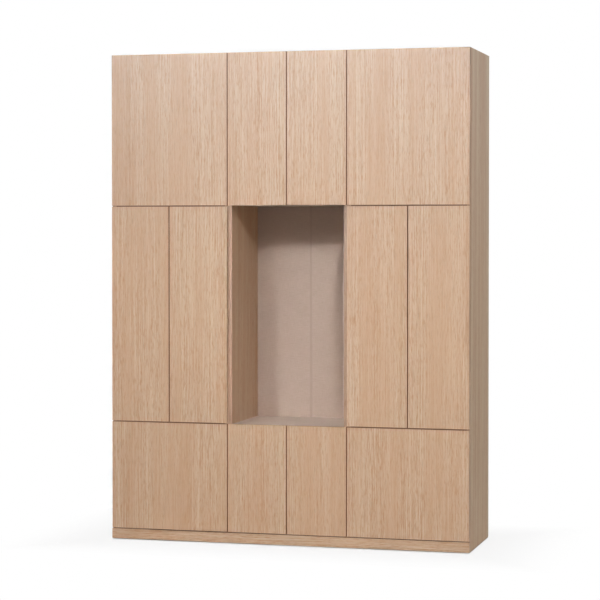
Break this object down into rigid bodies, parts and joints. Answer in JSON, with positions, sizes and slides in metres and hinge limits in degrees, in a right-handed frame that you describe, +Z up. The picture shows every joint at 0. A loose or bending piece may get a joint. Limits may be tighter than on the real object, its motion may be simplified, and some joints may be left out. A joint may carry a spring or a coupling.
{
  "type": "modular wardrobe",
  "caption": "Tall modular wardrobe of joined columns in light oak laminate, with handleless hinged doors, deep drawers and an open niche lined in linen-look board.",
  "frame": {"origin": "on the floor under the middle of the footprint, the fronts included", "axes": "+Z up, the fronts face -Y and the wall is on the +Y side, +X to the right as seen from the front"},
  "size_m": [1.8, 0.53, 2.4],
  "materials": {
    "oak_front": "light oak laminate, upright grain",
    "oak_panel": "light oak laminate, upright grain",
    "oak_plinth": "light oak laminate, level grain",
    "linen_board": "greige board with a linen-weave decor",
    "strip_plastic": "greige extruded strip",
    "black_plastic": "black moulded plastic",
    "grey_plastic": "light grey moulded plastic",
    "zinc": "zinc-plated steel",
    "nickel": "nickel-plated steel",
    "rail_metal": "chromed tube and sockets"
  },
  "bodies": {
    "carcass": {"left_column_outer_side": "oak_panel", "left_column_inner_side": "oak_panel", "centre_column_left_side": "oak_panel", "centre_column_right_side": "oak_panel", "right_column_inner_side": "oak_panel", "right_column_outer_side": "oak_panel", "top_panels": "oak_panel", "bottom_panels": "linen_board", "decks": "linen_board", "back_boards": "linen_board", "back_joint_strips": "strip_plastic", "plinth_board": "oak_plinth", "levelling_feet": "black_plastic", "loose_shelves": "linen_board", "shelf_pins": "zinc", "hanging_rail": "rail_metal", "column_tie_bolts": "zinc", "wall_brackets": "zinc", "hinge_arms": "nickel", "latch_bodies": "grey_plastic", "runner_outer_rails": "zinc"},
    "left_top_door_leaf": {"left_top_door": "oak_front", "left_top_door_hinge_cups": "nickel"},
    "left_top_door_push_pin": {"left_top_door_latch_plunger": "grey_plastic"},
    "right_top_door_leaf": {"right_top_door": "oak_front", "right_top_door_hinge_cups": "nickel"},
    "right_top_door_push_pin": {"right_top_door_latch_plunger": "grey_plastic"},
    "centre_top_door_l_leaf": {"centre_top_door_l": "oak_front", "centre_top_door_l_hinge_cups": "nickel"},
    "centre_top_door_l_push_pin": {"centre_top_door_l_latch_plunger": "grey_plastic"},
    "centre_top_door_r_leaf": {"centre_top_door_r": "oak_front", "centre_top_door_r_hinge_cups": "nickel"},
    "centre_top_door_r_push_pin": {"centre_top_door_r_latch_plunger": "grey_plastic"},
    "left_mid_door_l_leaf": {"left_mid_door_l": "oak_front", "left_mid_door_l_hinge_cups": "nickel"},
    "left_mid_door_l_push_pin": {"left_mid_door_l_latch_plunger": "grey_plastic"},
    "left_mid_door_r_leaf": {"left_mid_door_r": "oak_front", "left_mid_door_r_hinge_cups": "nickel"},
    "left_mid_door_r_push_pin": {"left_mid_door_r_latch_plunger": "grey_plastic"},
    "right_mid_door_l_leaf": {"right_mid_door_l": "oak_front", "right_mid_door_l_hinge_cups": "nickel"},
    "right_mid_door_l_push_pin": {"right_mid_door_l_latch_plunger": "grey_plastic"},
    "right_mid_door_r_leaf": {"right_mid_door_r": "oak_front", "right_mid_door_r_hinge_cups": "nickel"},
    "right_mid_door_r_push_pin": {"right_mid_door_r_latch_plunger": "grey_plastic"},
    "centre_low_door_l_leaf": {"centre_low_door_l": "oak_front", "centre_low_door_l_hinge_cups": "nickel"},
    "centre_low_door_l_push_pin": {"centre_low_door_l_latch_plunger": "grey_plastic"},
    "centre_low_door_r_leaf": {"centre_low_door_r": "oak_front", "centre_low_door_r_hinge_cups": "nickel"},
    "centre_low_door_r_push_pin": {"centre_low_door_r_latch_plunger": "grey_plastic"},
    "left_drawer": {"left_drawer_front": "oak_front", "left_drawer_box": "linen_board", "left_runner_inners": "zinc"},
    "left_runner_slides": {"left_runner_middles": "zinc"},
    "right_drawer": {"right_drawer_front": "oak_front", "right_drawer_box": "linen_board", "right_runner_inners": "zinc"},
    "right_runner_slides": {"right_runner_middles": "zinc"}
  },
  "joints": [
    {"name": "left_top_door_hinge", "type": "hinge", "parent": "carcass", "child": "left_top_door_leaf", "pos_m": [-0.8945, -0.265, 2.0275], "axis": [0, 0, -1], "range_deg": [0, 110]},
    {"name": "left_top_door_push", "type": "slide", "parent": "carcass", "child": "left_top_door_push_pin", "axis": [0, 1, 0], "range_m": [0, 0.0025], "stiffness_N_per_m": 300},
    {"name": "right_top_door_hinge", "type": "hinge", "parent": "carcass", "child": "right_top_door_leaf", "pos_m": [0.8945, -0.265, 2.0275], "axis": [0, 0, 1], "range_deg": [0, 110]},
    {"name": "right_top_door_push", "type": "slide", "parent": "carcass", "child": "right_top_door_push_pin", "axis": [0, 1, 0], "range_m": [0, 0.0025], "stiffness_N_per_m": 300},
    {"name": "centre_top_door_l_hinge", "type": "hinge", "parent": "carcass", "child": "centre_top_door_l_leaf", "pos_m": [-0.2945, -0.265, 2.0275], "axis": [0, 0, -1], "range_deg": [0, 110]},
    {"name": "centre_top_door_l_push", "type": "slide", "parent": "carcass", "child": "centre_top_door_l_push_pin", "axis": [0, 1, 0], "range_m": [0, 0.0025], "stiffness_N_per_m": 300},
    {"name": "centre_top_door_r_hinge", "type": "hinge", "parent": "carcass", "child": "centre_top_door_r_leaf", "pos_m": [0.2945, -0.265, 2.0275], "axis": [0, 0, 1], "range_deg": [0, 110]},
    {"name": "centre_top_door_r_push", "type": "slide", "parent": "carcass", "child": "centre_top_door_r_push_pin", "axis": [0, 1, 0], "range_m": [0, 0.0025], "stiffness_N_per_m": 300},
    {"name": "left_mid_door_l_hinge", "type": "hinge", "parent": "carcass", "child": "left_mid_door_l_leaf", "pos_m": [-0.8945, -0.265, 1.12], "axis": [0, 0, -1], "range_deg": [0, 110]},
    {"name": "left_mid_door_l_push", "type": "slide", "parent": "carcass", "child": "left_mid_door_l_push_pin", "axis": [0, 1, 0], "range_m": [0, 0.0025], "stiffness_N_per_m": 300},
    {"name": "left_mid_door_r_hinge", "type": "hinge", "parent": "carcass", "child": "left_mid_door_r_leaf", "pos_m": [-0.3055, -0.265, 1.12], "axis": [0, 0, 1], "range_deg": [0, 110]},
    {"name": "left_mid_door_r_push", "type": "slide", "parent": "carcass", "child": "left_mid_door_r_push_pin", "axis": [0, 1, 0], "range_m": [0, 0.0025], "stiffness_N_per_m": 300},
    {"name": "right_mid_door_l_hinge", "type": "hinge", "parent": "carcass", "child": "right_mid_door_l_leaf", "pos_m": [0.3055, -0.265, 1.12], "axis": [0, 0, -1], "range_deg": [0, 110]},
    {"name": "right_mid_door_l_push", "type": "slide", "parent": "carcass", "child": "right_mid_door_l_push_pin", "axis": [0, 1, 0], "range_m": [0, 0.0025], "stiffness_N_per_m": 300},
    {"name": "right_mid_door_r_hinge", "type": "hinge", "parent": "carcass", "child": "right_mid_door_r_leaf", "pos_m": [0.8945, -0.265, 1.12], "axis": [0, 0, 1], "range_deg": [0, 110]},
    {"name": "right_mid_door_r_push", "type": "slide", "parent": "carcass", "child": "right_mid_door_r_push_pin", "axis": [0, 1, 0], "range_m": [0, 0.0025], "stiffness_N_per_m": 300},
    {"name": "centre_low_door_l_hinge", "type": "hinge", "parent": "carcass", "child": "centre_low_door_l_leaf", "pos_m": [-0.2945, -0.265, 0.3205], "axis": [0, 0, -1], "range_deg": [0, 90]},
    {"name": "centre_low_door_l_push", "type": "slide", "parent": "carcass", "child": "centre_low_door_l_push_pin", "axis": [0, 1, 0], "range_m": [0, 0.0025], "stiffness_N_per_m": 300},
    {"name": "centre_low_door_r_hinge", "type": "hinge", "parent": "carcass", "child": "centre_low_door_r_leaf", "pos_m": [0.2945, -0.265, 0.3205], "axis": [0, 0, 1], "range_deg": [0, 90]},
    {"name": "centre_low_door_r_push", "type": "slide", "parent": "carcass", "child": "centre_low_door_r_push_pin", "axis": [0, 1, 0], "range_m": [0, 0.0025], "stiffness_N_per_m": 300},
    {"name": "left_drawer_pull", "type": "slide", "parent": "carcass", "child": "left_drawer", "axis": [0, -1, 0], "range_m": [0, 0.4]},
    {"name": "left_runner_travel", "type": "slide", "parent": "carcass", "child": "left_runner_slides", "axis": [0, -1, 0], "range_m": [0, 0.2]},
    {"name": "right_drawer_pull", "type": "slide", "parent": "carcass", "child": "right_drawer", "axis": [0, -1, 0], "range_m": [0, 0.4]},
    {"name": "right_runner_travel", "type": "slide", "parent": "carcass", "child": "right_runner_slides", "axis": [0, -1, 0], "range_m": [0, 0.2]}
  ],
  "couplings": [
    {"joint": "left_runner_travel", "follows": "left_drawer_pull", "ratio": 0.5},
    {"joint": "right_runner_travel", "follows": "right_drawer_pull", "ratio": 0.5}
  ]
}
